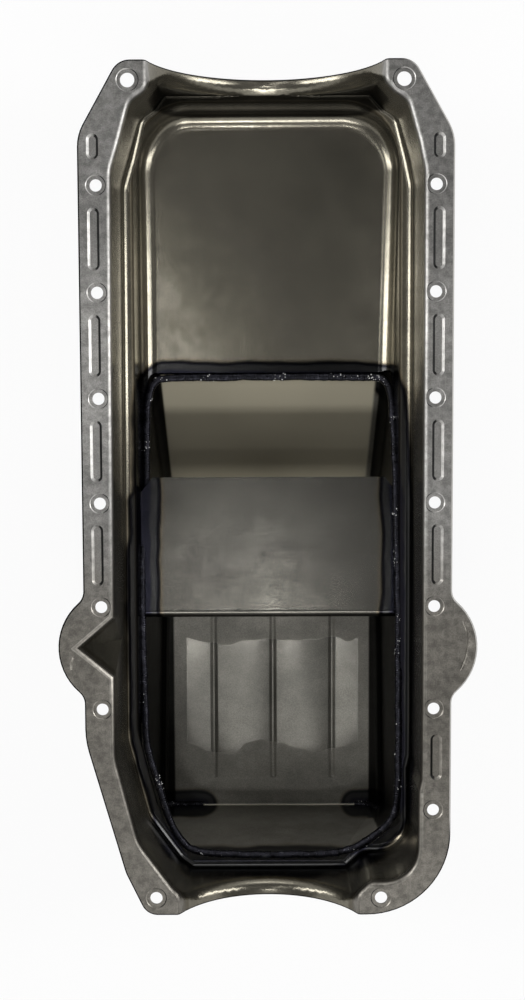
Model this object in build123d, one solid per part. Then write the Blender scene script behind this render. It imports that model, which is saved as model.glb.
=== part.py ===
from build123d import *
from math import cos, radians
import os

# Driving sizes, mm. Origin: middle of the bolt pattern, z = 0 on the gasket face, +Y to the front.
sheet = 1.5
half_width = 125.2  # centre line to the straight edge of the rail
row_pitch = 70.6  # one bolt row to the next
front = 2.5 * row_pitch + 81.7
rear = -3.5 * row_pitch - 74.0
ledge_depth = 65.0
tray_depth = 90.0
sump_depth = 207.0

bolt_x = half_width - 12.1
bolt_r = 4.1
front_bolt = (half_width - 33.8, front - 13.3)
front_bolt_r = 4.8
rear_bolt = (half_width - 47.6, rear + 12.2)
rear_bolt_r = 4.25

bead_x = half_width - 10.2
bead_width = 8.0
bead_depth = 1.2
bead_length = row_pitch - 29.0

rim_x = half_width - 19.9
rim_slope = 1.0
rim_skew = 1.9  # the left wall stands this much further in at the front
ledge_x = half_width - 29.4
tray_slope = 13.0
rail_roll = 3.5
arch_roll = 9.0
ledge_roll = 2.0
ledge_foot = 5.0
tray_fillet = 12.0

front_arch_half = half_width - 45.9
front_arch_depth = 61.0
rear_arch_half = half_width - 63.4
rear_arch_depth = 38.5

ear_y = -1.5 * row_pitch - 28.1
ear_x = half_width - 23.5
ear_r = 41.0
ear_blend = 11.0

box_top = ledge_depth - 2.0
ramp_top_y = 1.5 * row_pitch - 31.1
ramp_run = 112.0
box_rear_y = rear + 14.0
box_fillet = 6.0
box_flare_left = 0.019
box_flare_right = 0.0153
rib_x = (-45.2, 4.0, 53.3)
rib_width = 7.0
rib_front_y = -50.0
rib_rear_y = box_rear_y + 22.0
rib_depth = 2.0

baffle_z = -78.0
baffle_front_y = -22.5
baffle_rear_y = -126.5
baffle_cut = (9.4, 12.5)
baffle_lip = 9.0
baffle_bend = 6.0

drain_y = -85.5
drain_z = -(sump_depth - 21.0)
bung_r = 14.0
bung_length = 10.0
drain_bore_r = 6.35
plug_shank_r = drain_bore_r - 0.1
washer_r = 11.0
washer_thick = 1.5
plug_flange_r = 12.0
plug_flange = 2.0
plug_hex = 19.0
plug_head = 8.0


def outline(corners):
    """Face with straight sides; corners run clockwise, each one (x, y, radius)."""
    points = [(x, y) for x, y, r in reversed(corners)]
    return make_face(FilletPolyline(*points, radius=[r for x, y, r in reversed(corners)], close=True))


def mirrored(corners):
    return [(-x, y, r) for x, y, r in reversed(corners)]


def press(face, top, depth, slope, floor_r, g):
    """Hollow pressed down from z = top, its walls leaning in by slope, grown by g on every side."""
    if g:
        face = offset(face, g / cos(radians(slope)), kind=Kind.ARC)
    solid = extrude(face, depth + g, taper=slope)
    if floor_r:
        solid = fillet(solid.faces().sort_by(Axis.Z)[-1].edges(), floor_r + g)
    return Pos(0, 0, top) * mirror(solid, about=Plane.XY)


def polyhedron(polygons):
    return Solid(Shell([Face(Wire.make_polygon([Vector(*p) for p in poly], close=True)) for poly in polygons]))


def grown(solid, g):
    return offset(solid, g, kind=Kind.INTERSECTION) if g else solid


# Outlines of the stamping
def rail_outline():
    w = half_width
    body = outline(
        [
            (w - 27.6, front, 13.4),
            (w, front - 48.7, 30),
            (w, rear, 57.5),
            (41 - w, rear, 12),
            (26.7 - w, rear + 29.6, 30),
            (-w, rear + 122.6, 60),
            (-w, front - 48.7, 30),
            (27.6 - w, front, 13.4),
        ]
    )
    face = body + [Pos(s * ear_x, ear_y) * Circle(ear_r) for s in (1, -1)]
    necks = [v for v in face.vertices() if abs(abs(v.X) - w) < 0.01 and abs(v.Y - ear_y) < ear_r]
    return fillet(necks, ear_blend)


def rim_outline():
    def front_corner(x, swell):
        return [
            (x - 30.8, front - 9.7, 4),
            (x - 20.8 - swell, front - 20.7, 9),
            (x - 11.5 - swell, front - 26.7, 12),
            (x - 3.5 - swell, front - 55.7, 25),
            (x, front - 72.7, 25),
        ]

    x = rim_x
    right = [
        (x, rear + 94.6, 8),
        (x - 1.9, rear + 86.6, 8),
        (x - 1.9, rear + 22.6, 24),
        (x - 35.3, rear + 22.6, 8),
        (x - 47.8, rear + 10.6, 4),
    ]
    left = [
        (49.3 - x, rear + 10.6, 6),
        (39.3 - x, rear + 17.6, 16),
        (15.3 - x, rear + 50.6, 30),
        (-x, rear + 109.6, 40),
    ]
    return outline(front_corner(x, 0) + right + left + mirrored(front_corner(x - rim_skew, 1.7)))


def tray_outline():
    x = ledge_x
    return outline(
        [
            (x, front - 17.7, 42),
            (x, rear + 51.6, 26),
            (x - 11.8, rear + 39.6, 26),
            (x - 45.0, rear + 23.1, 26),
            (38.8 - x, rear + 23.1, 26),
            (14.8 - x, rear + 54.6, 30),
            (-x, rear + 111.6, 40),
            (-x, front - 17.7, 42),
        ]
    )


# Hollows of the stamping, each grown by g
def arch_r(half, depth):
    return (half**2 + depth**2) / (2 * depth)


def arch(half, depth, start, g):
    """Round seal seat along Y, its axis above the gasket face, from start out past the rail."""
    r = arch_r(half, depth)
    length = 80.0
    middle = start + length / 2 if start > 0 else start - length / 2
    return Pos(0, middle, r - depth) * Rot(90, 0, 0) * Cylinder(r + g, length)


def dipstick_pocket(g):
    tip = Vector(-half_width - 6.2, ear_y - 0.2, g)
    rim = [Vector(18.2 - half_width, ear_y + 20.5, g), Vector(17.7 - half_width, ear_y - 19.5, g)]
    foot = Vector(23.2 - half_width, ear_y - 2.5, -50)
    a, b, c = [tip + (p - tip) * 1.15 for p in (*rim, foot)]
    return grown(polyhedron([(tip, a, b), (tip, a, c), (tip, b, c), (a, b, c)]), g)


def above(level):
    return Pos(0, 0, level + 100) * Box(4 * half_width, 3 * front, 200)


def arch_edges(solid, g):
    """Lowest edge of each seal arch, where it turns down into the pan."""
    radii = [arch_r(front_arch_half, front_arch_depth) + g, arch_r(rear_arch_half, rear_arch_depth) + g]
    seats = solid.faces().filter_by(lambda f: min(abs((f.radius or 0) - r) for r in radii) < 0.01)
    edges = [e for f in seats for e in f.edges()]
    return [e for e in edges if e.geom_type == GeomType.ELLIPSE and e.center().Z < -arch_roll]


def rail_edges(solid):
    """Edges where the rail turns down into the pan."""
    rail = solid.faces().filter_by(lambda f: abs(f.center().Z) < 0.01 and f.inner_wires())
    edges = [e for f in rail for e in f.inner_wires()[0].edges()]
    return [e for e in edges if abs(e.center().Z) < 0.01 and e.bounding_box().size.Y > 0.01]


def tray(g):
    """Lower hollow with its rolled top edge, up to the ledge."""
    solid = above(-ledge_depth - g)
    solid += press(tray_outline(), -ledge_depth, tray_depth - ledge_depth, tray_slope, tray_fillet, g)
    if not g:
        ledge = solid.faces().filter_by(lambda f: abs(f.center().Z + ledge_depth) < 0.01 and f.inner_wires())[0]
        solid = fillet(ledge.inner_wires()[0].edges(), ledge_roll)
    return split(solid, Plane.XY.offset(-ledge_depth - g), keep=Keep.BOTTOM)


def hollow(g):
    """Everything above the sheet, grown by g; rolled edges shrink by g where they turn down."""
    upper = Pos(0, 0, 20 - g) * Box(4 * half_width, 3 * front, 40)
    upper += press(rim_outline(), 0, ledge_depth + 12, rim_slope, 0, g)
    upper += arch(front_arch_half, front_arch_depth, front - 23.7, g)
    upper += arch(rear_arch_half, rear_arch_depth, rear + 27.6, g)
    upper += dipstick_pocket(g)
    upper = fillet(arch_edges(upper, g), arch_roll - g)
    if not g:
        upper = fillet(rail_edges(upper), rail_roll)
    upper &= above(-ledge_depth - g)
    if not g:
        foot = [e for e in upper.edges() if abs(e.center().Z + ledge_depth) < 0.01]
        upper = fillet(foot, ledge_foot)
    upper += tray(g)
    return upper + rail_forms(g)


def bead(y, length, g, sides=(1, -1)):
    slots = [Pos(s * bead_x, y) * SlotOverall(length, bead_width, rotation=90) for s in sides]
    return [press(s, 0, bead_depth, 0, 0, g) for s in slots]


def rail_forms(g):
    """Stiffening beads between the bolt rows."""
    middles = [(n + 0.5) * row_pitch for n in (1.5, 0.5, -0.5, -1.5)]
    forms = [f for y in middles for f in bead(y, bead_length, g)]
    forms += bead(front - 56.4, 17.0, g) + bead(rear + 111.0, 32.0, g, sides=(1,))
    return forms


def holes():
    rows = [(s * bolt_x, n * row_pitch, bolt_r) for n in (2.5, 1.5, 0.5, -0.5, -1.5, -2.5) for s in (1, -1)]
    corners = [(s * x, y, r) for (x, y), r in ((front_bolt, front_bolt_r), (rear_bolt, rear_bolt_r)) for s in (1, -1)]
    return rows + corners + [(bolt_x, -3.5 * row_pitch, bolt_r)]


# Deep end: a folded box let into the tray
def box_corners():
    """Corner points of the box at its top and at its floor, counter-clockwise from the front left."""
    left, right = -half_width, half_width
    top_y, floor_y = box_rear_y + 2.3, box_rear_y
    top_rear = (left + 30.5, right - 27.75, top_y)
    floor_rear = (left + 35.2, right - 29.7, floor_y)
    cuts_left = [(89.3 * box_flare_left, 89.3), (16.2, 32.3), (37.2, 0)]
    cuts_right = [(-47.4, 0), (-21.4, 12.3), (-29.3 * box_flare_right, 29.3)]
    top_front = ramp_top_y
    floor_front = ramp_top_y - ramp_run

    def ring(rear_line, front_y, share):
        x0, x1, y = rear_line
        points = [(x0 + (front_y - y) * box_flare_left, front_y)]
        points += [(x0 + share * dx, y + share * dy) for dx, dy in cuts_left]
        points += [(x1 + share * dx, y + share * dy) for dx, dy in cuts_right]
        return points + [(x1 - (front_y - y) * box_flare_right, front_y)]

    return ring(top_rear, top_front, 1), ring(floor_rear, floor_front, 0.12)


def box_form(g):
    """Inside of the deep end grown by g, with three ribs pressed down into its floor."""
    top, floor = box_corners()
    top = [(x, y, -box_top) for x, y in top]
    floor = [(x, y, -sump_depth) for x, y in floor]
    n = len(top)
    sides = [(top[i], top[(i + 1) % n], floor[(i + 1) % n], floor[i]) for i in range(n)]
    form = grown(polyhedron([top, floor, *sides]), g)
    bends = [e for e in form.edges() if is_bend(e, g)]
    form = fillet(bends, box_fillet + g)
    for x in rib_x:
        slot = Pos(x, (rib_front_y + rib_rear_y) / 2) * SlotOverall(rib_front_y - rib_rear_y, rib_width, rotation=90)
        form += press(slot, -sump_depth, rib_depth, 0, 0, g)
    return form


def is_bend(edge, g):
    """Edges of the box bent to a radius: round the ramp and along both sides of the floor."""
    size, middle = edge.bounding_box().size, edge.center()
    if middle.Z > -box_top - 1:
        return False
    if middle.Z > -sump_depth - g + 0.01:
        return middle.Y > box_rear_y + 100
    return size.Y > 100 or middle.Y > box_rear_y + 100


def drain(radius, start, end):
    """Round bar on the drain's axis, between two distances outside the box's right wall."""
    length = end - start
    bar = Cylinder(radius, length, align=(Align.CENTER, Align.CENTER, Align.MIN))
    return drain_face * Pos(0, 0, start) * bar


def pan_body():
    stamping = extrude(Pos(0, 0, 10) * rail_outline(), -200) & outer_hollow
    stamping -= inner_hollow
    stamping -= box_inside
    return stamping - [Pos(x, y) * Cylinder(r, 20) for x, y, r in holes()]


def sump_box():
    return box_outside - box_inside - outer_hollow - drain(drain_bore_r, -10, 10)


def baffle_plate():
    """Flat plate across the box, its front corners cut off and its rear edge rolled down."""
    y0, y1, z = baffle_front_y, baffle_rear_y, baffle_z
    bend, t = baffle_bend, sheet
    top = [(y0, z, 0), (y1, z, bend), (y1, z - baffle_lip, 0)]
    under = [(y1 + t, z - baffle_lip, 0), (y1 + t, z - t, bend - t), (y0, z - t, 0)]
    raw = extrude(Plane.YZ * outline(top + under), half_width, both=True)
    plate = (raw & box_inside) + (raw & inner_hollow)
    x0, x1 = plate.bounding_box().min.X, plate.bounding_box().max.X
    cut_x, cut_y = baffle_cut
    for x, s in ((x0, 1), (x1, -1)):
        corner = [(x - s, y0 - cut_y), (x + s * cut_x, y0 + 1), (x - s, y0 + 1)]
        plate -= extrude(Pos(0, 0, z) * make_face(Polyline(*corner, close=True)), 5, both=True)
    return plate


def drain_bung():
    return drain(bung_r, -5, bung_length) - drain(drain_bore_r, -10, bung_length + 5) - box_outside


def drain_washer():
    start = bung_length
    return drain(washer_r, start, start + washer_thick) - drain(plug_shank_r, 0, start + 5)


def drain_plug():
    seat = bung_length + washer_thick
    head = extrude(RegularPolygon(plug_hex / 2, 6, major_radius=False), plug_head)
    flange_face = seat + plug_flange
    return (
        drain(plug_shank_r, -2, seat)
        + drain(plug_flange_r, seat, flange_face)
        + drain_face * Pos(0, 0, flange_face) * head
    )


inner_hollow = hollow(0)
outer_hollow = hollow(sheet)
box_inside = box_form(0)
box_outside = box_form(sheet)
wall = box_outside.faces().filter_by(lambda f: f.center().X > 0 and f.area > 15000 and abs(f.normal_at().X) > 0.9)[0]
drain_face = Plane(wall.find_intersection_points(Axis((0, drain_y, drain_z), (1, 0, 0)))[-1][0], z_dir=wall.normal_at())

os.makedirs("parts", exist_ok=True)
for make in (pan_body, sump_box, baffle_plate, drain_bung, drain_washer, drain_plug):
    export_step(make(), f"parts/{make.__name__}.step")
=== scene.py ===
from math import cos, pi, radians, sin

import bmesh
import bpy
from mathutils import Matrix, Vector


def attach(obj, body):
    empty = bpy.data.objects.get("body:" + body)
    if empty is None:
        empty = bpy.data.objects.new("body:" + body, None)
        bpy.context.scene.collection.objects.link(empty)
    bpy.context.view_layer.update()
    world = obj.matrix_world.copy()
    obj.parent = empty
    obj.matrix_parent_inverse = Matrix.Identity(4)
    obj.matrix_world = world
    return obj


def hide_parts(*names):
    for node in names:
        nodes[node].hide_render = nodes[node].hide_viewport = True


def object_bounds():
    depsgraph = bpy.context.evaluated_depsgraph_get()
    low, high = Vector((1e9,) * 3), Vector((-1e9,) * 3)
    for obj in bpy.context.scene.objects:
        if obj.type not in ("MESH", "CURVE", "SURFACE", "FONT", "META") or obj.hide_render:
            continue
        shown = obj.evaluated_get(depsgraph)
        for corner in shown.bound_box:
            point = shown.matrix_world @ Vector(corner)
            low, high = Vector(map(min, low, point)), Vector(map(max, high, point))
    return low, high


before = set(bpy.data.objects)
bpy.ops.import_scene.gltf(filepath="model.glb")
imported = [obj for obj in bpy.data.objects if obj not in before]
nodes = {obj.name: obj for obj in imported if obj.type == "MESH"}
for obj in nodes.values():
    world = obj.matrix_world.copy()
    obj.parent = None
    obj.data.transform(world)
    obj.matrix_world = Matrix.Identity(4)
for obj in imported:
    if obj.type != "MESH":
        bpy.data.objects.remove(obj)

cad_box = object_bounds()


# Studio: a pale floor that curves up into a round white wall, under a grey ceiling with soft lamps.
# It is not part of the object. The floor and wall look white to the eye and in the metal, and keep
# the shadow.
sweep_profile = [(0.0, 0.0), (2.2, 0.0), (2.7, 0.07), (3.05, 0.3), (3.25, 0.75), (3.3, 2.4)]


def spin_profile(name, profile, count):
    mesh = bpy.data.meshes.new(name)
    work = bmesh.new()
    rings = []
    for r, z in profile[1:]:
        turns = [2 * pi * k / count for k in range(count)]
        rings.append([work.verts.new((r * cos(turn), r * sin(turn), z)) for turn in turns])
    middle = work.verts.new((0, 0, profile[0][1]))
    for k in range(count):
        work.faces.new((middle, rings[0][k], rings[0][(k + 1) % count]))
        for low, high in zip(rings, rings[1:]):
            work.faces.new((low[(k + 1) % count], low[k], high[k], high[(k + 1) % count]))
    for face in work.faces:
        face.smooth = True
    work.to_mesh(mesh)
    work.free()
    made = bpy.data.objects.new(name, mesh)
    bpy.context.scene.collection.objects.link(made)
    return made


floor = spin_profile("studio_sweep", sweep_profile, 96)
floor.location.z = cad_box[0].z - 0.0004

floor_paint = bpy.data.materials.new("studio_white")
floor_paint.use_nodes = True
tree = floor_paint.node_tree
tree.nodes.clear()
matt = tree.nodes.new("ShaderNodeBsdfDiffuse")
matt.inputs["Color"].default_value = (0.86, 0.86, 0.86, 1)
glow = tree.nodes.new("ShaderNodeEmission")
glow.inputs["Color"].default_value = (1, 1, 1, 1)
glow.inputs["Strength"].default_value = 1.0
path = tree.nodes.new("ShaderNodeLightPath")
seen = tree.nodes.new("ShaderNodeMath")
seen.operation = "MAXIMUM"
seen_all = tree.nodes.new("ShaderNodeMath")
seen_all.operation = "MAXIMUM"
share = tree.nodes.new("ShaderNodeMath")
share.operation = "MULTIPLY"
share.inputs[1].default_value = 0.9
mix = tree.nodes.new("ShaderNodeMixShader")
out = tree.nodes.new("ShaderNodeOutputMaterial")
link = tree.links.new
link(path.outputs["Is Camera Ray"], seen.inputs[0])
link(path.outputs["Is Glossy Ray"], seen.inputs[1])
link(seen.outputs[0], seen_all.inputs[0])
link(path.outputs["Is Transmission Ray"], seen_all.inputs[1])
link(seen_all.outputs[0], share.inputs[0])
link(share.outputs[0], mix.inputs["Fac"])
link(matt.outputs[0], mix.inputs[1])
link(glow.outputs[0], mix.inputs[2])
link(mix.outputs[0], out.inputs["Surface"])
floor.data.materials.append(floor_paint)

ceiling = bpy.data.worlds.new("studio_ceiling")
ceiling.use_nodes = True
sky = ceiling.node_tree.nodes["Background"]
sky.inputs["Color"].default_value = (0.98, 0.99, 1.0, 1)
sky.inputs["Strength"].default_value = 0.17
bpy.context.scene.world = ceiling

lamps = [
    ("lamp_right", (1.0, 0.15, 0.6), (0, 0.05, -0.05), (0.26, 1.1), 8.5),
    ("lamp_left", (-1.0, 0.2, 0.75), (0, 0.05, -0.05), (0.26, 0.9), 7.2),
    ("lamp_back", (0.0, -1.15, 1.0), (0, 0, -0.1), (0.7, 0.3), 7.0),
    ("lamp_front", (0.0, 1.2, 0.7), (0, 0, -0.08), (0.9, 0.3), 3.0),
    ("lamp_rear", (-0.1, -0.62, 1.5), (0, -0.1, -0.1), (0.62, 0.26), 0.5),
    ("lamp_glint", (-0.03, -0.34, 1.5), (0, -0.1, -0.08), (0.12, 0.06), 1.3),
    ("lamp_over_left", (-0.35, 0.25, 1.5), (-0.11, 0.05, 0), (0.09, 0.52), 0.9),
    ("lamp_over_right", (0.35, 0.3, 1.5), (0.11, 0.05, 0), (0.09, 0.44), 0.1),
]
for name, place, target, size, watts in lamps:
    data = bpy.data.lights.new(name, "AREA")
    data.shape = "RECTANGLE"
    data.size, data.size_y = size
    data.energy = watts
    lamp = bpy.data.objects.new(name, data)
    lamp.location = place
    lamp.rotation_euler = (Vector(target) - Vector(place)).to_track_quat("-Z", "Y").to_euler()
    bpy.context.scene.collection.objects.link(lamp)


# Camera: straight above the open pan, tipped a little towards the deep end.
lens_data = bpy.data.cameras.new("camera")
lens_data.lens = 48.6
lens_data.sensor_width = 36.0
camera = bpy.data.objects.new("camera", lens_data)
camera.location = (0.001, 0.0379, 0.9079)
camera.rotation_euler = (radians(-4.477), radians(0.247), radians(-0.227))
bpy.context.scene.collection.objects.link(camera)
bpy.context.scene.camera = camera
bpy.context.scene.view_settings.view_transform = "Standard"


# Drawn sheet steel, bare and lightly oiled: every stamped or folded piece shares its surface. One node
# group gives the cloudy film, fine grain and long draw marks. A second gives the temper colours that a
# weld leaves beside it.
def new_group(name, inputs, outputs):
    group = bpy.data.node_groups.new(name, "ShaderNodeTree")
    for label, kind, value in inputs:
        socket = group.interface.new_socket(label, in_out="INPUT", socket_type=kind)
        if value is not None:
            socket.default_value = value
    for label, kind in outputs:
        group.interface.new_socket(label, in_out="OUTPUT", socket_type=kind)
    return group, group.nodes.new("NodeGroupInput"), group.nodes.new("NodeGroupOutput")


def add(tree, kind, links=(), sockets=(), **values):
    """A shader node with its settings, its linked sockets and its set sockets."""
    node = tree.nodes.new(kind)
    for key, value in values.items():
        setattr(node, key, value)
    for key, value in dict(sockets).items():
        node.inputs[key].default_value = value
    for source, key in links:
        tree.links.new(source, node.inputs[key])
    return node


def maths(tree, operation, *terms, clamp=False):
    node = tree.nodes.new("ShaderNodeMath")
    node.operation, node.use_clamp = operation, clamp
    for k, term in enumerate(terms):
        if isinstance(term, (int, float)):
            node.inputs[k].default_value = term
        else:
            tree.links.new(term, node.inputs[k])
    return node.outputs[0]


def vector(tree, operation, first, second):
    node = tree.nodes.new("ShaderNodeVectorMath")
    node.operation = operation
    for k, term in enumerate((first, second)):
        socket = node.inputs["Scale"] if operation == "SCALE" and k else node.inputs[k]
        if isinstance(term, (tuple, Vector)):
            socket.default_value = term
        else:
            tree.links.new(term, socket)
    return node.outputs["Value" if operation in ("DOT_PRODUCT", "DISTANCE") else 0]


def noise(tree, position, scale, detail, roughness=0.5):
    settings = {"Scale": scale, "Detail": detail, "Roughness": roughness}
    return add(tree, "ShaderNodeTexNoise", [(position, "Vector")], settings).outputs[0]


def ramp(tree, fac, stops):
    node = add(tree, "ShaderNodeValToRGB", [(fac, "Fac")])
    points = node.color_ramp.elements
    while len(points) < len(stops):
        points.new(0.5)
    for point, (at, colour) in zip(points, stops):
        point.position = at
        point.color = (*colour, 1)
    return node.outputs["Color"]


def span(tree, value, low, high, to_low=0.0, to_high=1.0):
    limits = {"From Min": low, "From Max": high, "To Min": to_low, "To Max": to_high}
    node = add(tree, "ShaderNodeMapRange", [(value, "Value")], limits, interpolation_type="SMOOTHSTEP")
    return node.outputs[0]


def mixed(tree, fac, first, second, blend="MIX"):
    node = add(tree, "ShaderNodeMix", data_type="RGBA", blend_type=blend)
    for term, key in ((fac, 0), (first, 6), (second, 7)):
        if isinstance(term, (int, float)):
            node.inputs[key].default_value = term
        elif isinstance(term, tuple):
            node.inputs[key].default_value = (*term, 1)
        else:
            tree.links.new(term, node.inputs[key])
    return node.outputs[2]


def grey(tree, value):
    return add(tree, "ShaderNodeCombineColor", [(value, k) for k in range(3)]).outputs[0]


surface_group, gin, gout = new_group(
    "sheet_surface",
    [("Position", "NodeSocketVector", None), ("Draw marks", "NodeSocketFloat", 0.5)],
    [(label, "NodeSocketFloat") for label in ("Cloud", "Grain", "Marks", "Height")],
)
place = gin.outputs["Position"]
broad = noise(surface_group, place, 9.0, 3.0)
patchy = noise(surface_group, place, 60.0, 4.0, 0.6)
fine = noise(surface_group, place, 1100.0, 3.0, 0.6)
along = add(surface_group, "ShaderNodeMapping", [(place, "Vector")], {"Scale": (1.0, 0.035, 0.25)})
streak = noise(surface_group, along.outputs[0], 520.0, 3.0)
cloud = maths(surface_group, "MULTIPLY_ADD", patchy, 0.35, maths(surface_group, "MULTIPLY", broad, 0.65))
marks = maths(surface_group, "MULTIPLY", span(surface_group, streak, 0.56, 0.78), gin.outputs["Draw marks"])
height = maths(surface_group, "MULTIPLY_ADD", fine, 0.5, patchy)
height = maths(surface_group, "MULTIPLY_ADD", marks, -0.6, height)
for value, label in ((cloud, "Cloud"), (fine, "Grain"), (marks, "Marks"), (height, "Height")):
    surface_group.links.new(value, gout.inputs[label])

# The weld's course round the deep box, mm, and the short welds at the floor's rear corners.
seam = [
    (-76, 50.7, -92), (78, 50.7, -92), (87, 48.5, -88), (91, 38, -84), (92.6, 15, -79), (93.9, -40, -73.5),
    (95, -80, -69), (95.3, -133, -68), (95.6, -190, -66), (95.6, -262, -66), (90, -277, -66),
    (77, -288, -66), (62, -297, -66), (46, -301, -66), (-54, -301, -66), (-66, -289, -66), (-74, -273, -66),
    (-82, -243, -66), (-86, -232, -67), (-90, -215, -71), (-91.5, -190, -79), (-92.8, -114, -78.5),
    (-92.3, -75, -79.5), (-89, -55, -86), (-89, 19, -86.5), (-87, 38, -88), (-83, 47.5, -90),
]
floor_welds = [
    [(-85, -306, -206), (-55, -306.3, -206)],
    [(72, -306.3, -206), (89, -306, -206), (91, -305.5, -184)],
]
heat_group, gin, gout = new_group(
    "weld_heat",
    [("Position", "NodeSocketVector", None), ("Drop", "NodeSocketFloat", 0.35)],
    [("Tint", "NodeSocketColor"), ("Amount", "NodeSocketFloat")],
)


def distance_to_lines(tree, position, drop, lines):
    """Distance in mm from a point in metres to the nearest line, its height counting only by drop."""
    weigh = add(tree, "ShaderNodeCombineXYZ", [(drop, "Z")], {"X": 1.0, "Y": 1.0}).outputs[0]
    here = vector(tree, "MULTIPLY", vector(tree, "MULTIPLY", position, (1000.0,) * 3), weigh)
    nearest = None
    for start, end in lines:
        first = vector(tree, "MULTIPLY", Vector(start), weigh)
        run = vector(tree, "MULTIPLY", Vector(end) - Vector(start), weigh)
        gap = vector(tree, "SUBTRACT", here, first)
        shadow = vector(tree, "DOT_PRODUCT", gap, run)
        share = maths(tree, "DIVIDE", shadow, vector(tree, "DOT_PRODUCT", run, run), clamp=True)
        off = vector(tree, "DISTANCE", gap, vector(tree, "SCALE", run, share))
        nearest = off if nearest is None else maths(tree, "MINIMUM", nearest, off)
    return nearest


runs = list(zip(seam, seam[1:] + seam[:1]))
runs += [pair for weld in floor_welds for pair in zip(weld, weld[1:])]
baffle_sides = [((-91, -40, -78), (-90, -127, -80)), ((96, -40, -78), (94, -127, -80))]
runs += baffle_sides
near = distance_to_lines(heat_group, gin.outputs["Position"], gin.outputs["Drop"], runs)
wobble = maths(heat_group, "SUBTRACT", noise(heat_group, gin.outputs["Position"], 38.0, 2.0), 0.5)
near = maths(heat_group, "MULTIPLY_ADD", wobble, 5.0, near)
tint = ramp(
    heat_group,
    maths(heat_group, "DIVIDE", near, 20.0),
    [
        (0.0, (0.014, 0.014, 0.02)),
        (0.18, (0.014, 0.014, 0.02)),
        (0.27, (0.03, 0.03, 0.03)),
        (0.4, (0.03, 0.03, 0.03)),
        (0.47, (0.006, 0.006, 0.008)),
        (0.56, (0.008, 0.007, 0.006)),
        (0.66, (0.14, 0.105, 0.06)),
    ],
)
heat_group.links.new(tint, gout.inputs["Tint"])
heat_group.links.new(span(heat_group, near, 10.0, 14.5, 1.0, 0.0), gout.inputs["Amount"])


def steel(name, rail, inside, rough, marks=0.5, metallic=0.85, bump=0.1):
    """Bare sheet steel: grey at the rail, below it a darker bronze, partly an oil film and partly painted
    shade;
    darkened beside the welds.
    """
    material = bpy.data.materials.new(name)
    material.use_nodes = True
    tree = material.node_tree
    shader = tree.nodes["Principled BSDF"]
    where = tree.nodes.new("ShaderNodeTexCoord").outputs["Object"]
    surface = add(tree, "ShaderNodeGroup", node_tree=surface_group)
    tree.links.new(where, surface.inputs["Position"])
    surface.inputs["Draw marks"].default_value = marks
    top = span(tree, add(tree, "ShaderNodeSeparateXYZ", [(where, 0)]).outputs["Z"], -0.009, -0.0008)
    cloud = grey(tree, span(tree, surface.outputs["Cloud"], 0.25, 0.75, 0.65, 1.35))
    grain = grey(tree, span(tree, surface.outputs["Grain"], 0.2, 0.8, 0.75, 1.25))
    # Below the rail the colour is darker: partly an oil film, partly painted shade for the pan's deep inside.
    colour = mixed(tree, 1.0, mixed(tree, top, inside, rail), cloud, "MULTIPLY")
    colour = mixed(tree, 1.0, colour, grain, "MULTIPLY")
    roughness = maths(tree, "MULTIPLY_ADD", surface.outputs["Cloud"], -0.25, rough + 0.125)
    roughness = maths(tree, "MULTIPLY_ADD", top, 0.2, roughness)
    scorch = add(tree, "ShaderNodeGroup", node_tree=heat_group)
    tree.links.new(where, scorch.inputs["Position"])
    scorch.inputs["Drop"].default_value = 0.35
    depth = {"Strength": bump, "Distance": 0.0006}
    relief = add(tree, "ShaderNodeBump", [(surface.outputs["Height"], "Height")], depth)
    tree.links.new(colour, shader.inputs["Base Color"])
    tree.links.new(roughness, shader.inputs["Roughness"])
    tree.links.new(relief.outputs[0], shader.inputs["Normal"])
    shader.inputs["Metallic"].default_value = metallic
    lay_over(tree, "Base Color", scorch.outputs["Amount"], scorch.outputs["Tint"])
    lay_over(tree, "Metallic", scorch.outputs["Amount"], 1.0)
    return material, tree, where


def lay_over(tree, key, fac, value, blend="MIX"):
    """Lays a colour or value over what the shader's socket already shows, by fac."""
    socket = tree.nodes["Principled BSDF"].inputs[key]
    was = socket.links[0].from_socket if socket.is_linked else socket.default_value
    if key == "Base Color":
        tree.links.new(mixed(tree, fac, was, value, blend), socket)
    else:
        tree.links.new(maths(tree, "MULTIPLY_ADD", fac, maths(tree, "SUBTRACT", value, was), was), socket)


def zone(tree, where, axis, low, high, soft):
    """1 between low and high along an axis, fading over soft on both sides."""
    value = add(tree, "ShaderNodeSeparateXYZ", [(where, 0)]).outputs[axis]
    up = span(tree, value, low - soft, low)
    return maths(tree, "MULTIPLY", up, span(tree, value, high, high + soft, 1.0, 0.0))


def both(tree, first, second):
    return maths(tree, "MULTIPLY", first, second)


# Pan body: one deep-drawn sheet 1.5 mm thick, with its rail, beads, seal arches and shallow front tray.
# The beads and bolt pads are pressed into the rail with sloping sides, and the sheared rim is left raw.
def merged_copy(name):
    """A copy of a CAD node's mesh, its loose triangles joined."""
    work = bmesh.new()
    work.from_mesh(nodes[name].data)
    bmesh.ops.remove_doubles(work, verts=work.verts, dist=2e-6)
    return work


def as_object(name, work, material):
    mesh = bpy.data.meshes.new(name)
    work.to_mesh(mesh)
    work.free()
    mesh.materials.append(material)
    made = bpy.data.objects.new(name, mesh)
    bpy.context.scene.collection.objects.link(made)
    return made


def cut_away(made, cutter):
    """Takes the cutter's shape out of a piece and removes the cutter."""
    step = made.modifiers.new("pressed_marks", "BOOLEAN")
    step.operation, step.object, step.solver = "DIFFERENCE", cutter, "EXACT"
    view = bpy.context.evaluated_depsgraph_get()
    mesh = bpy.data.meshes.new_from_object(made.evaluated_get(view))
    made.modifiers.clear()
    made.data = mesh
    bpy.data.objects.remove(cutter)


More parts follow.
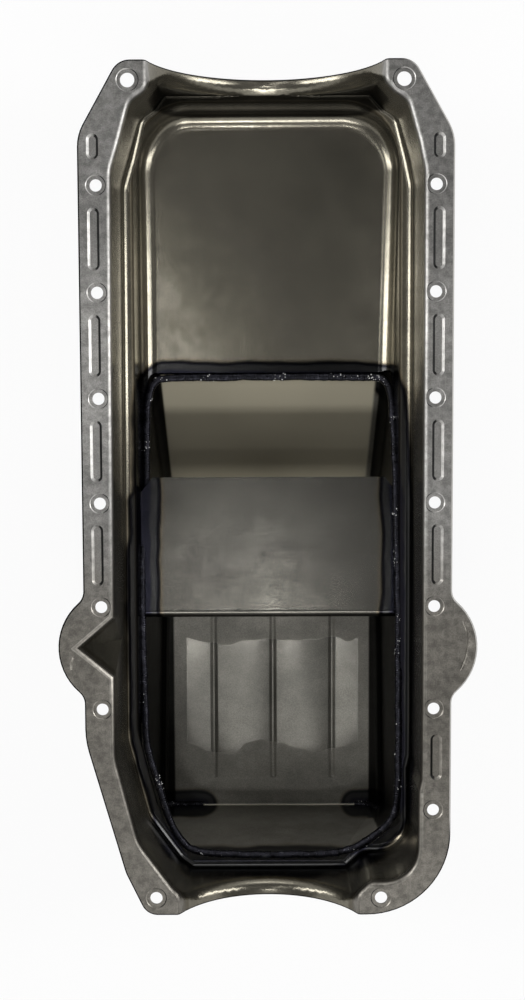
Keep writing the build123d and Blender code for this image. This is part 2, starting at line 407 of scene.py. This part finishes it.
def smooth_faces(made, sharp):
    for polygon in made.data.polygons:
        polygon.use_smooth = True
    made.data.set_sharp_from_angle(angle=radians(sharp))
    level = made.modifiers.new("flat_faces_lead", "WEIGHTED_NORMAL")
    level.keep_sharp = True
    level.weight = 90


def fold_lines(made, angle, test):
    """Keeps crisp the folds steeper than angle whose ends both pass the test."""
    work = bmesh.new()
    work.from_mesh(made.data)
    for edge in work.edges:
        steep = len(edge.link_faces) == 2 and edge.calc_face_angle(0) > radians(angle)
        if steep and all(test(v.co) for v in edge.verts):
            edge.smooth = False
    work.to_mesh(made.data)
    work.free()


def off_slot(p, x, y, half):
    """Distance in plan from a point to the middle line of a slot along Y."""
    return Vector((p.x - x, p.y - y - max(-half, min(half, p.y - y)))).length


def mark_wall_light_and_shade(made, test):
    """Stores painted light and shade for each sloping face that passes the test: how much it faces the pan's
    middle, -1 to 1, lit towards the middle and shaded away from it. The rolled edges get a painted highlight
    too, most of all those of the dipstick pocket."""
    pocket_edge_highlight, rolled_edge_highlight = 0.7, 0.34
    layer = made.data.attributes.new("pressed", "FLOAT", "FACE")
    for polygon in made.data.polygons:
        p, n = polygon.center, polygon.normal
        if 0.15 < n.z < 0.985 and test(p):
            layer.data[polygon.index].value = -n.x * (1 if p.x > 0 else -1) / max(0.2, n.xy.length)
        elif 0.3 < n.z < 0.985 and p.z > -0.0045:
            pocket = p.x < -0.1 and -0.17 < p.y < -0.09
            layer.data[polygon.index].value = pocket_edge_highlight if pocket else rolled_edge_highlight


def mark_inside(made, ends, height):
    """Stores 1 on the faces that look towards a line along the piece's middle, and 0 on the rest."""
    layer = made.data.attributes.new("inside", "FLOAT", "FACE")
    for polygon in made.data.polygons:
        p = polygon.center
        middle = Vector((0, max(ends[0], min(ends[1], p.y)), height))
        layer.data[polygon.index].value = float(polygon.normal.dot(middle - p) > 0)


def shift(work, place):
    """Moves every vertex by place(x, y, z)."""
    for vert in work.verts:
        vert.co += Vector(place(*vert.co))


def rise(value, low, high):
    """0 below low and 1 above high, smooth between; the other way round when low is above high."""
    t = max(0.0, min(1.0, (value - low) / (high - low)))
    return t * t * (3 - 2 * t)


def slope_slots(work, slots, levels, shrink, sink):
    """Leans in the walls of pressed slots along Y by moving their floors.
    Each slot is (x, y, half its straight)."""
    reach, same = 0.0062, 3e-5
    for vert in work.verts:
        x, y, z = vert.co
        if not any(abs(z - level) < same for level in levels):
            continue
        for sx, sy, half in slots:
            out = Vector((x - sx, y - sy - max(-half, min(half, y - sy)), 0))
            if out.length < reach and abs(y - sy) < half + reach:
                vert.co -= out.normalized() * shrink
                vert.co.z -= sink
                break


row_pitch = 0.0706
bead_axis, bead_depth, bead_end, sheet_thick = 0.115, 0.0012, 0.004, 0.0015
beads = [(s * bead_axis, n * row_pitch, 0.0208 - bead_end) for n in (2, 1, 0, -1) for s in (1, -1)]
beads += [(s * bead_axis, 0.2018, 0.0085 - bead_end) for s in (1, -1)]
beads.append((bead_axis, -0.2101, 0.016 - bead_end))
pan_work = merged_copy("pan_body")
slope_slots(pan_work, beads, (-bead_depth, -bead_depth - sheet_thick), 0.0017, 0.0004)


def tray_lean(x, y, z):
    """The tray's walls open out to the front: their feet stand wider there than at the weld."""
    low = rise(z, -0.067, -0.08)
    right = 0.0034 * low * rise(x, 0.05, 0.083) * rise(y, 0.075, 0.165)
    left = 0.0022 * low * rise(x, -0.05, -0.083) * rise(y, 0.054, 0.068) * rise(y, 0.17, 0.08)
    ahead = 0.0034 * rise(z, -0.06, -0.0652) * rise(y, 0.2, 0.234) * rise(y, 0.2484, 0.2445)
    return right + left, ahead, 0


shift(pan_work, tray_lean)
pan_steel, tree, where = steel("pan_steel", (0.25, 0.244, 0.232), (0.18, 0.167, 0.133), 0.2)
inner = add(tree, "ShaderNodeAttribute", attribute_name="inside").outputs["Fac"]
# The ledge's convex roll inside is made rough and painted darker: painted shade that dims its highlight.
ledge_roll_shade = both(tree, inner, zone(tree, where, "Z", -0.0685, -0.0652, 0.0004))
lay_over(tree, "Roughness", ledge_roll_shade, 0.55)
lay_over(tree, "Base Color", ledge_roll_shade, (0.6, 0.56, 0.5), "MULTIPLY")
wall = add(tree, "ShaderNodeAttribute", attribute_name="pressed").outputs["Fac"]
# Painted light and shade on the pressed walls: walls facing the pan's middle and rolled edges get a painted
# highlight, walls facing away get painted shade.
lay_over(tree, "Base Color", span(tree, wall, 0.1, 0.8), (0.52, 0.51, 0.49))
lay_over(tree, "Base Color", span(tree, wall, -0.1, -0.6), (0.012, 0.012, 0.012))
mottle = span(tree, noise(tree, where, 170.0, 5.0, 0.65), 0.32, 0.66, 0.72, 1.2)
lay_over(tree, "Base Color", zone(tree, where, "Z", -0.001, 0.01, 0.001), grey(tree, mottle), "MULTIPLY")
front_shade = both(
    tree, zone(tree, where, "Y", 0.2385, 0.2475, 0.002), zone(tree, where, "Z", -0.09, -0.03, 0.004)
)
front_shade = both(tree, inner, front_shade)
lay_over(tree, "Base Color", front_shade, (0.1, 0.1, 0.1), "MULTIPLY")
lay_over(tree, "Metallic", front_shade, 1.0)
# The rail is painted darker towards the rear: painted shade.
rear_rail_shade = both(tree, zone(tree, where, "Z", -0.009, 0.01, 0.002), zone(tree, where, "Y", -0.4, -0.13, 0.1))
lay_over(tree, "Base Color", rear_rail_shade, (0.6, 0.575, 0.53), "MULTIPLY")


def sheared_rim(work, r, skip):
    """Draws the outer rim in by r and returns the middle line of the rounded edge that takes its place."""
    ends = (0.2582, -0.3211)

    def is_side(face):
        if any(abs(v.co.y - end) < 2e-5 for end in ends for v in face.verts) and abs(face.normal.y) > 0.99:
            return True
        return abs(face.normal.z) < 0.05 and all(v.co.z > -0.00155 and not skip(v.co) for v in face.verts)

    sides = [f for f in work.faces if is_side(f)]
    marked = set(sides)
    upper = {}
    outward = {}
    for face in sides:
        for vert in face.verts:
            outward.setdefault(vert, Vector()).xy += face.normal.xy * face.calc_area()
        for edge in face.edges:
            other = [f for f in edge.link_faces if f not in marked]
            if other and other[0].normal.z > 0.05:
                for vert in edge.verts:
                    upper.setdefault(vert, []).append((edge.other_vert(vert), other[0].normal.copy()))
    start = next(iter(upper))
    chain, seen = [start], {start}
    while True:
        ahead = [v for v, _ in upper[chain[-1]] if v not in seen]
        if not ahead:
            break
        chain.append(ahead[0])
        seen.add(ahead[0])
    line = []
    for vert in chain:
        up = sum((normal for _, normal in upper[vert]), Vector()).normalized()
        line.append(vert.co - outward[vert].normalized() * r - up * r)
    for vert, out in outward.items():
        vert.co -= out.normalized() * r
    return line


def round_bar(work, line, r, sides, closed):
    """A round bar along a line of points, closed on itself or with flat ends."""
    rings = []
    last = len(line) - 1
    for k, point in enumerate(line):
        before = line[k - 1] if closed else line[max(0, k - 1)]
        after = line[(k + 1) % len(line)] if closed else line[min(last, k + 1)]
        along = (after - before).normalized()
        across = along.cross(Vector((0, 0, 1))).normalized()
        up = across.cross(along)
        turns = [2 * pi * n / sides for n in range(sides)]
        rings.append([work.verts.new(point + across * cos(t) * r + up * sin(t) * r) for t in turns])
    for here, after in zip(rings, rings[1:] + (rings[:1] if closed else [])):
        for n in range(sides):
            work.faces.new((here[n], after[n], after[(n + 1) % sides], here[(n + 1) % sides])).smooth = True
    if not closed:
        work.faces.new(rings[0])
        work.faces.new(rings[-1][::-1])
    bmesh.ops.recalc_face_normals(work, faces=work.faces)


bolt_x, pad_r, pad_depth, pad_slope, bead_r = 0.1131, 0.0069, 0.0005, 0.0006, 0.0052
pressed = [(x, y, half, bead_r) for x, y, half in beads]
bolts = [(s * bolt_x, n * row_pitch, pad_r) for n in (2.5, 1.5, 0.5, -0.5, -1.5, -2.5) for s in (1, -1)]
bolts += [(bolt_x, -3.5 * row_pitch, pad_r)]
bolts += [(s * 0.0914, 0.2449, 0.0076) for s in (1, -1)]
bolts += [(s * 0.0776, -0.3089, 0.0072) for s in (1, -1)]
pressed += [(x, y, 0, r + 0.0015) for x, y, r in bolts]
rim_r = 0.00105


def at_bolt(p):
    return any((p.xy - Vector((x, y))).length < r for x, y, r in bolts)


rim_line = sheared_rim(pan_work, rim_r, at_bolt)
pan = as_object("pan_stamping", pan_work, pan_steel)
ear_marks = [
    [(0.1327, -0.1161), (0.1352, -0.1225), (0.1362, -0.1311), (0.1348, -0.1405), (0.1309, -0.1502)],
    [(-0.1325, -0.1405), (-0.1342, -0.1445), (-0.1338, -0.149)],
]
mark_r, mark_height, lift = 0.0008, 0.0002, 0.0006
cutters = bmesh.new()
for mark in ear_marks:
    round_bar(cutters, [Vector((x, y, mark_height)) for x, y in mark], mark_r, 8, False)
for x, y, r in bolts:
    bmesh.ops.create_cone(
        cutters, cap_ends=True, segments=40, radius1=r - pad_slope, radius2=r + pad_slope * lift / pad_depth,
        depth=pad_depth + lift, matrix=Matrix.Translation((x, y, (lift - pad_depth) / 2)),
    )
cut_away(pan, as_object("bolt_pads", cutters, pan_steel))
smooth_faces(pan, 34)


def in_pressing(p):
    return p.z > -0.0022 and any(off_slot(p, x, y, half) < r for x, y, half, r in pressed)


fold_lines(pan, 9, in_pressing)
mark_wall_light_and_shade(pan, in_pressing)
mark_inside(pan, (-0.2, 0.15), 0.05)
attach(pan, "root")
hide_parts("pan_body")

rim_steel = bpy.data.materials.new("rim_steel")
rim_steel.use_nodes = True
tree = rim_steel.node_tree
where = tree.nodes.new("ShaderNodeTexCoord").outputs["Object"]
# The sheared rim is painted: near-black painted shade on all sides but the right, where it is painted light.
rim_painted_light = both(tree, zone(tree, where, "X", 0.1, 0.2, 0.012), zone(tree, where, "Y", -0.25, 0.3, 0.02))
shader = tree.nodes["Principled BSDF"]
colour = mixed(tree, rim_painted_light, (0.004, 0.004, 0.004), (0.42, 0.41, 0.39))
tree.links.new(colour, shader.inputs["Base Color"])
shader.inputs["Roughness"].default_value = 0.6
shader.inputs["Specular IOR Level"].default_value = 0.0
rim_work = bmesh.new()
round_bar(rim_work, rim_line, rim_r, 10, True)
rim = as_object("sheared_rim", rim_work, rim_steel)
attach(rim, "root")


# Deep box: one sheet folded into a ramp, two sides, a ribbed floor and a rear wall, let into the stamping.
# Three ribs are pressed down in its floor with sloping sides, and its rear fold has a small radius.
box_work = merged_copy("sump_box")
ribs = [(x, -0.16755, 0.11405) for x in (-0.0452, 0.004, 0.0533)]
slope_slots(box_work, ribs, (-0.209, -0.2105), 0.002, 0.0)
floor_z, rear_y, fold_r = -0.207, -0.3065, 0.0018


def at_rear_fold(edge):
    if not all(abs(v.co.z - floor_z) < 2e-5 and v.co.y < rear_y for v in edge.verts):
        return False
    faces = edge.link_faces
    return len(faces) == 2 and faces[0].normal.angle(faces[1].normal, 0.0) > 0.5


bmesh.ops.bevel(
    box_work, geom=[e for e in box_work.edges if at_rear_fold(e)], offset=fold_r, offset_type="OFFSET",
    segments=4, profile=0.5, affect="EDGES", clamp_overlap=False,
)
sump_steel, tree, where = steel("sump_steel", (0.2, 0.185, 0.15), (0.24, 0.23, 0.2), 0.5, marks=0.1)
# The ramp's inner face is painted pale and less metallic: painted light, so it reads as lit.
ramp_painted_light = both(tree, zone(tree, where, "Y", -0.07, 0.06, 0.004), zone(tree, where, "X", -0.079, 0.079, 0.003))
inner = add(tree, "ShaderNodeAttribute", attribute_name="inside").outputs["Fac"]
ramp_painted_light = both(tree, inner, ramp_painted_light)
lay_over(tree, "Metallic", ramp_painted_light, 0.2)
lay_over(tree, "Base Color", ramp_painted_light, (0.49, 0.45, 0.34))
lay_over(tree, "Metallic", both(tree, inner, zone(tree, where, "Y", -0.32, -0.07, 0.004)), 0.5)
ripple = noise(tree, where, 26.0, 2.0)
sway = add(tree, "ShaderNodeCombineXYZ", [(maths(tree, "MULTIPLY", ripple, 0.03), "Y")])
waved = vector(tree, "ADD", where, sway.outputs[0])
film = both(
    tree, zone(tree, waved, "Y", -0.24, -0.152, 0.0025), zone(tree, where, "X", -0.067, 0.074, 0.002)
)
lay_over(tree, "Roughness", both(tree, inner, film), 0.16)
# A pale line along the floor's rear fold, inside: painted highlight.
fold_painted_highlight = both(
    tree, zone(tree, where, "Y", -0.3092, -0.3064, 0.0003), zone(tree, where, "X", -0.052, 0.07, 0.006)
)
fold_painted_highlight = both(tree, fold_painted_highlight, zone(tree, where, "Z", -0.21, -0.2056, 0.0004))
fold_painted_highlight = both(tree, inner, fold_painted_highlight)
lay_over(tree, "Base Color", fold_painted_highlight, (0.9, 0.86, 0.7))
lay_over(tree, "Metallic", fold_painted_highlight, 0.1)
# The deep box's side walls are painted near-black inside: painted shade.
side_wall_shade = maths(tree, "SUBTRACT", 1.0, zone(tree, where, "X", -0.0775, 0.083, 0.002))
side_wall_shade = both(tree, inner, side_wall_shade)
lay_over(tree, "Base Color", side_wall_shade, (0.05, 0.05, 0.05), "MULTIPLY")
lay_over(tree, "Metallic", side_wall_shade, 0.95)
box = as_object("deep_box", box_work, sump_steel)
smooth_faces(box, 34)
mark_inside(box, (-0.25, -0.1), -0.1)
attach(box, "root")
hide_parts("sump_box")


# Baffle: a flat steel plate across the deep box, welded at its sides, with its rear edge rolled down.
# Its face is brushed from side to side.
baffle_steel, tree, where = steel(
    "baffle_steel", (0.13, 0.125, 0.115), (0.07, 0.067, 0.058), 0.2, marks=0.0
)
slant = {"Rotation": (0, 0, 0.12), "Scale": (0.03, 1.0, 1.0)}
brush = add(tree, "ShaderNodeMapping", [(where, "Vector")], slant)
scratch = noise(tree, brush.outputs[0], 1500.0, 4.0, 0.7)
brushed = add(tree, "ShaderNodeBump", [(scratch, "Height")], {"Strength": 0.5, "Distance": 0.0001})
normal = tree.nodes["Principled BSDF"].inputs["Normal"]
tree.links.new(normal.links[0].from_socket, brushed.inputs["Normal"])
tree.links.new(brushed.outputs[0], normal)
nodes["baffle_plate"].data.materials.clear()
nodes["baffle_plate"].data.materials.append(baffle_steel)


# Drain fittings: a turned steel bung in the box's right side, an aluminium washer and a zinc plated
# hex plug. All three share one finish, each with its own colour and roughness.
drain_metals = [
    ("drain_bung", (0.2, 0.19, 0.17), 0.4),
    ("drain_washer", (0.62, 0.62, 0.63), 0.34),
    ("drain_plug", (0.5, 0.49, 0.45), 0.28),
]
for name, colour, rough in drain_metals:
    metal, _, _ = steel(name + "_metal", colour, colour, rough, marks=0.1)
    nodes[name].data.materials.clear()
    nodes[name].data.materials.append(metal)


# Weld beads: laid by hand round the box's seam and at its floor's rear corners, rippled and darkened by
# the heat, with bright specks of slag on them.
def geometry_tree(name, inputs):
    tree = bpy.data.node_groups.new(name, "GeometryNodeTree")
    tree.interface.new_socket("Geometry", in_out="INPUT", socket_type="NodeSocketGeometry")
    ids = {}
    for label, kind, value in inputs:
        socket = tree.interface.new_socket(label, in_out="INPUT", socket_type=kind)
        if value is not None:
            socket.default_value = value
        ids[label] = socket.identifier
    tree.interface.new_socket("Geometry", in_out="OUTPUT", socket_type="NodeSocketGeometry")
    return tree, tree.nodes.new("NodeGroupInput"), tree.nodes.new("NodeGroupOutput"), ids


def grown_mesh(name, source, tree, ids, values):
    """Runs a geometry tree on an object and leaves its plain mesh as a new piece."""
    step = source.modifiers.new(name, "NODES")
    step.node_group = tree
    for label, value in values.items():
        step[ids[label]] = value
    view = bpy.context.evaluated_depsgraph_get()
    mesh = bpy.data.meshes.new_from_object(source.evaluated_get(view))
    source.modifiers.clear()
    made = bpy.data.objects.new(name, mesh)
    bpy.context.scene.collection.objects.link(made)
    for polygon in mesh.polygons:
        polygon.use_smooth = True
    return made


weld_tree, win, wout, weld_ids = geometry_tree(
    "laid_bead",
    [
        ("Radius", "NodeSocketFloat", 0.0033),
        ("Step", "NodeSocketFloat", 0.00045),
        ("Ripple", "NodeSocketFloat", 0.1),
        ("Ripples per step", "NodeSocketFloat", 0.26),
        ("Wander", "NodeSocketFloat", 0.0016),
        ("Material", "NodeSocketMaterial", None),
    ],
)
g = weld_tree.nodes
resample = g.new("GeometryNodeResampleCurve")
resample.mode = "LENGTH"
index = g.new("GeometryNodeInputIndex")
where = g.new("GeometryNodeInputPosition")
wander = g.new("ShaderNodeTexNoise")
wander.inputs["Scale"].default_value = 60.0
wander.inputs["Detail"].default_value = 2.0
centred = g.new("ShaderNodeVectorMath")
centred.operation = "SUBTRACT"
centred.inputs[1].default_value = (0.5, 0.5, 0.5)
drift = g.new("ShaderNodeVectorMath")
drift.operation = "SCALE"
move = g.new("GeometryNodeSetPosition")
tick = maths(weld_tree, "MULTIPLY", index.outputs[0], win.outputs["Ripples per step"])
saw = maths(weld_tree, "FRACT", tick)
arc = maths(weld_tree, "SINE", maths(weld_tree, "MULTIPLY", saw, pi))
swell = maths(weld_tree, "MULTIPLY", arc, win.outputs["Ripple"])
uneven = g.new("ShaderNodeTexNoise")
uneven.inputs["Scale"].default_value = 150.0
size = maths(weld_tree, "ADD", swell, maths(weld_tree, "MULTIPLY_ADD", uneven.outputs[0], 0.5, 0.7))
set_radius = g.new("GeometryNodeSetCurveRadius")
ring = g.new("GeometryNodeCurvePrimitiveCircle")
ring.inputs["Resolution"].default_value = 14
sweep = g.new("GeometryNodeCurveToMesh")
sweep.inputs["Fill Caps"].default_value = True
whole = g.new("GeometryNodeRealizeInstances")
paint = g.new("GeometryNodeSetMaterial")
wire = weld_tree.links.new
wire(win.outputs["Geometry"], resample.inputs["Curve"])
wire(win.outputs["Step"], resample.inputs["Length"])
wire(resample.outputs[0], move.inputs["Geometry"])
wire(where.outputs[0], wander.inputs["Vector"])
wire(wander.outputs["Color"], centred.inputs[0])
wire(centred.outputs[0], drift.inputs[0])
wire(win.outputs["Wander"], drift.inputs["Scale"])
wire(drift.outputs[0], move.inputs["Offset"])
wire(where.outputs[0], uneven.inputs["Vector"])
wire(move.outputs[0], set_radius.inputs["Curve"])
wire(size, set_radius.inputs["Radius"])
wire(win.outputs["Radius"], ring.inputs["Radius"])
wire(set_radius.outputs[0], sweep.inputs["Curve"])
wire(ring.outputs[0], sweep.inputs["Profile Curve"])
wire(size, sweep.inputs["Scale"])
wire(sweep.outputs[0], whole.inputs[0])
wire(whole.outputs[0], paint.inputs["Geometry"])
wire(win.outputs["Material"], paint.inputs["Material"])
wire(paint.outputs[0], wout.inputs[0])

bead_steel = bpy.data.materials.new("weld_metal")
bead_steel.use_nodes = True
tree = bead_steel.node_tree
shader = tree.nodes["Principled BSDF"]
where = tree.nodes.new("ShaderNodeTexCoord").outputs["Object"]
colour = ramp(
    tree,
    noise(tree, where, 140.0, 4.0),
    [
        (0.3, (0.006, 0.006, 0.008)),
        (0.5, (0.013, 0.013, 0.018)),
        (0.64, (0.024, 0.024, 0.032)),
        (0.78, (0.08, 0.08, 0.086)),
    ],
)
tree.links.new(colour, shader.inputs["Base Color"])
tree.links.new(span(tree, noise(tree, where, 300.0, 3.0), 0.3, 0.7, 0.2, 0.5), shader.inputs["Roughness"])
shader.inputs["Metallic"].default_value = 0.8
pitting = noise(tree, where, 900.0, 3.0)
relief = add(tree, "ShaderNodeBump", [(pitting, "Height")], {"Strength": 0.35, "Distance": 0.0005})
tree.links.new(relief.outputs[0], shader.inputs["Normal"])


slag_tree, win, wout, slag_ids = geometry_tree(
    "slag_specks",
    [
        ("Density", "NodeSocketFloat", 110000.0),
        ("Seed", "NodeSocketInt", 7),
        ("Smallest", "NodeSocketFloat", 0.00022),
        ("Largest", "NodeSocketFloat", 0.0006),
        ("Material", "NodeSocketMaterial", None),
    ],
)
g = slag_tree.nodes
patch = g.new("ShaderNodeTexNoise")
patch.inputs["Scale"].default_value = 45.0
spread = g.new("GeometryNodeDistributePointsOnFaces")
grain = g.new("GeometryNodeMeshIcoSphere")
grain.inputs["Radius"].default_value = 1.0
size = g.new("FunctionNodeRandomValue")
strew = g.new("GeometryNodeInstanceOnPoints")
whole = g.new("GeometryNodeRealizeInstances")
paint = g.new("GeometryNodeSetMaterial")
wire = slag_tree.links.new
wire(g.new("GeometryNodeInputPosition").outputs[0], patch.inputs["Vector"])
wire(win.outputs["Geometry"], spread.inputs["Mesh"])
wire(maths(slag_tree, "GREATER_THAN", patch.outputs[0], 0.59), spread.inputs["Selection"])
wire(win.outputs["Density"], spread.inputs["Density"])
wire(win.outputs["Seed"], spread.inputs["Seed"])
wire(win.outputs["Smallest"], size.inputs[2])
wire(win.outputs["Largest"], size.inputs[3])
wire(win.outputs["Seed"], size.inputs["Seed"])
wire(spread.outputs["Points"], strew.inputs["Points"])
wire(grain.outputs["Mesh"], strew.inputs["Instance"])
wire(size.outputs[1], strew.inputs["Scale"])
wire(strew.outputs[0], whole.inputs[0])
wire(whole.outputs[0], paint.inputs["Geometry"])
wire(win.outputs["Material"], paint.inputs["Material"])
wire(paint.outputs[0], wout.inputs[0])

slag = bpy.data.materials.new("slag")
slag.use_nodes = True
tree = slag.node_tree
shader = tree.nodes["Principled BSDF"]
where = tree.nodes.new("ShaderNodeTexCoord").outputs["Object"]
colour = ramp(tree, noise(tree, where, 500.0, 2.0), [(0.35, (0.45, 0.45, 0.46)), (0.6, (0.95, 0.95, 0.93))])
tree.links.new(colour, shader.inputs["Base Color"])
shader.inputs["Roughness"].default_value = 0.35
shader.inputs["Metallic"].default_value = 0.1


def weld_path(name, points, closed):
    data = bpy.data.curves.new(name, "CURVE")
    data.dimensions = "3D"
    spline = data.splines.new("NURBS")
    spline.points.add(len(points) - 1)
    for point, place in zip(spline.points, points):
        point.co = (*(Vector(place) / 1000), 1)
    spline.use_cyclic_u = closed
    spline.order_u = 3
    spline.use_endpoint_u = not closed
    spline.resolution_u = 12
    made = bpy.data.objects.new(name, data)
    bpy.context.scene.collection.objects.link(made)
    return made


for name, points, closed, radius in (
    ("seam_weld", seam, True, 0.0027),
    ("floor_weld_left", floor_welds[0], False, 0.0026),
    ("floor_weld_right", floor_welds[1], False, 0.0026),
):
    course = weld_path(name + "_course", points, closed)
    bead = grown_mesh(name, course, weld_tree, weld_ids, {"Radius": radius, "Material": bead_steel})
    bpy.data.objects.remove(course)
    specks = grown_mesh(name + "_slag", bead, slag_tree, slag_ids, {"Material": slag})
    for piece in (bead, specks):
        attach(piece, "root")
